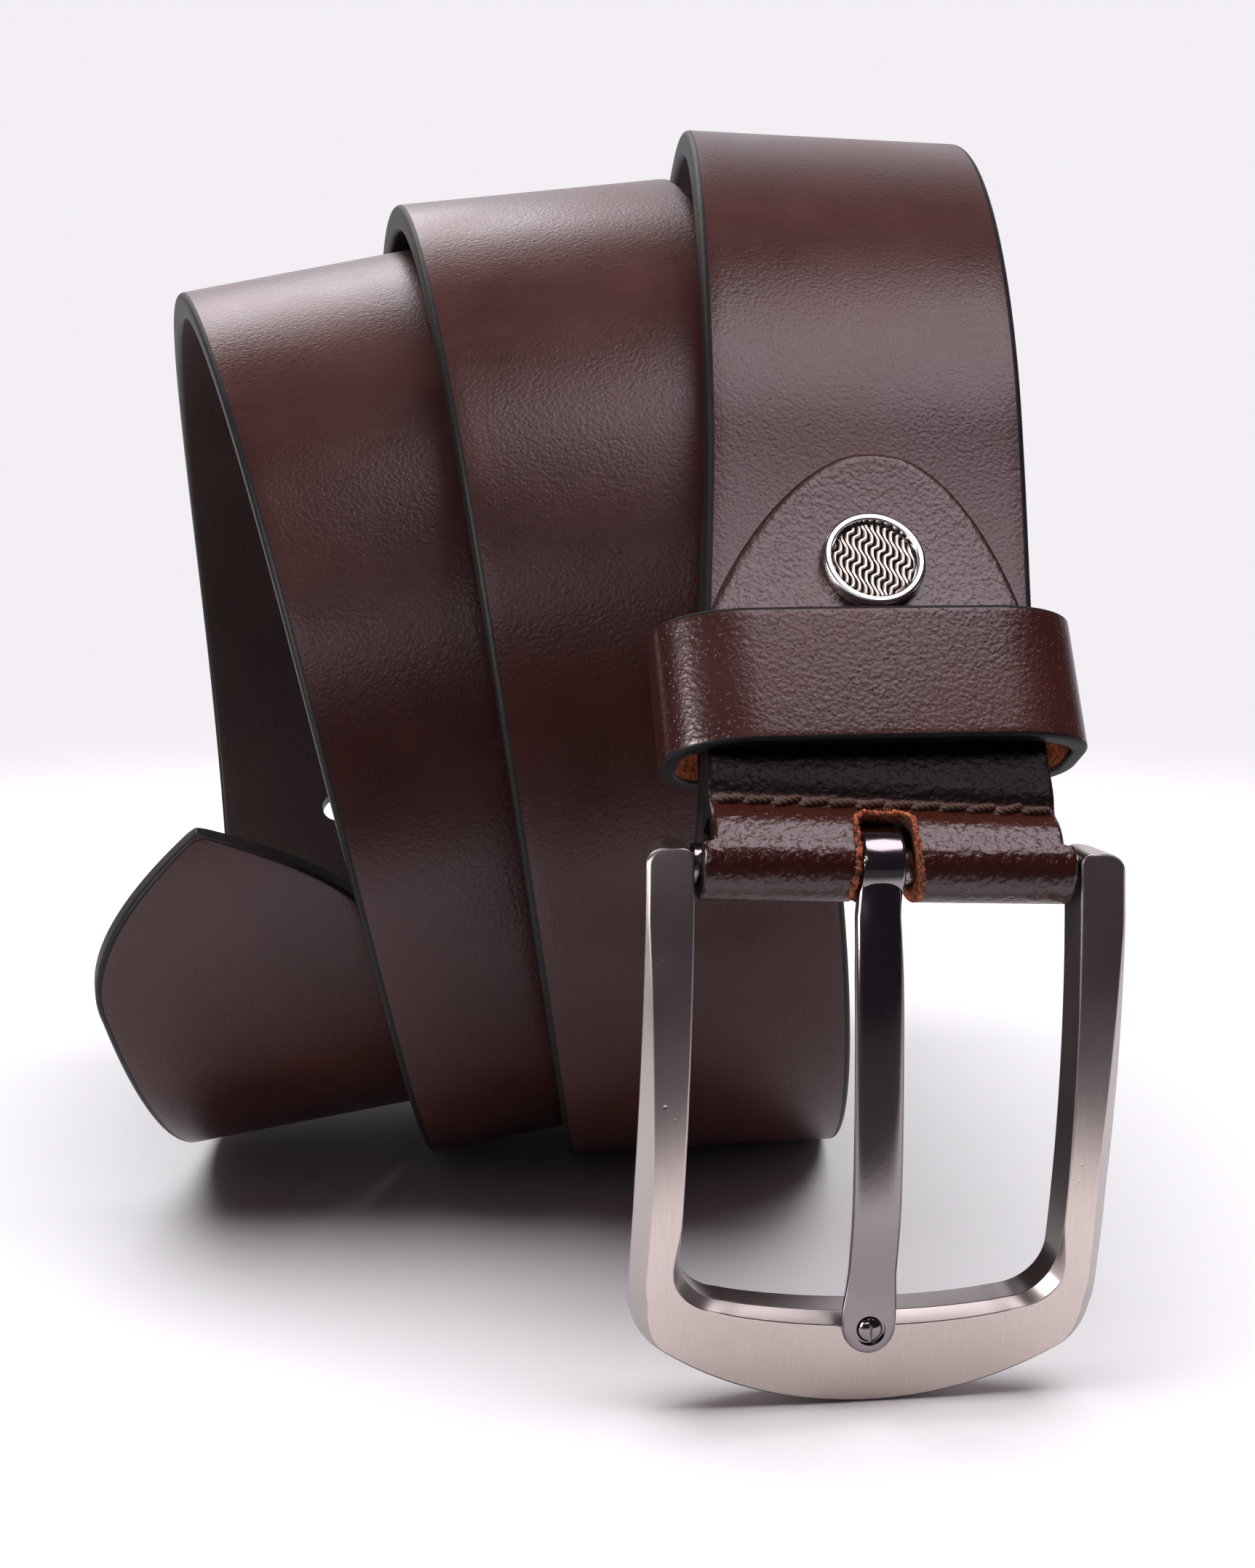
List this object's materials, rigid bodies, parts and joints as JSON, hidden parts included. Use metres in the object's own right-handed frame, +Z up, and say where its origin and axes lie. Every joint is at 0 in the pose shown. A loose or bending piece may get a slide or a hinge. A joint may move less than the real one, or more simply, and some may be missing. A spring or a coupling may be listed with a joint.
{
  "type": "leather belt",
  "caption": "Rolled-up leather belt with a hanging frame buckle, swinging prong, riveted and stitched tab, and a sliding keeper loop.",
  "frame": {"origin": "middle of the footprint, on the table", "axes": "+Z up, -Y to the side where the buckle hangs, +X towards the end of the coil that carries the buckle"},
  "size_m": [0.132, 0.1911, 0.1527],
  "materials": {
    "strap_leather": "smooth semi-gloss dark brown leather",
    "tab_leather": "pebbled glossy dark brown leather",
    "thread": "twisted waxed thread",
    "nickel": "bright nickel plate",
    "patterned_metal": "pressed wavy ridges, worn silver",
    "gunmetal": "satin brushed gunmetal plate",
    "dark_nickel": "polished dark nickel plate"
  },
  "bodies": {
    "belt": {"strap": "strap_leather", "buckle_tab": "tab_leather", "stitches": "thread", "rivet_cap": "nickel", "rivet_insert": "patterned_metal", "rivet_post": "nickel", "rivet_back_plate": "nickel"},
    "keeper_loop": {"keeper": "tab_leather", "keeper_staples": "nickel"},
    "buckle": {"buckle_frame": "gunmetal", "hinge_bar": "dark_nickel"},
    "buckle_prong": {"prong": "dark_nickel", "prong_screw": "nickel"}
  },
  "joints": [
    {"name": "keeper_slide", "type": "slide", "parent": "belt", "child": "keeper_loop", "axis": [0.0195, 0.6478, 0.7616], "range_m": [-0.003, 0.001]},
    {"name": "buckle_hinge", "type": "hinge", "parent": "belt", "child": "buckle", "pos_m": [0.0386, -0.08527, 0.06313], "axis": [-0.9894, -0.1391, 0.0419], "range_deg": [-35, 45]},
    {"name": "prong_hinge", "type": "hinge", "parent": "buckle", "child": "buckle_prong", "pos_m": [0.0386, -0.08527, 0.06313], "axis": [-0.9894, -0.1391, 0.0419], "range_deg": [0, 80]}
  ]
}
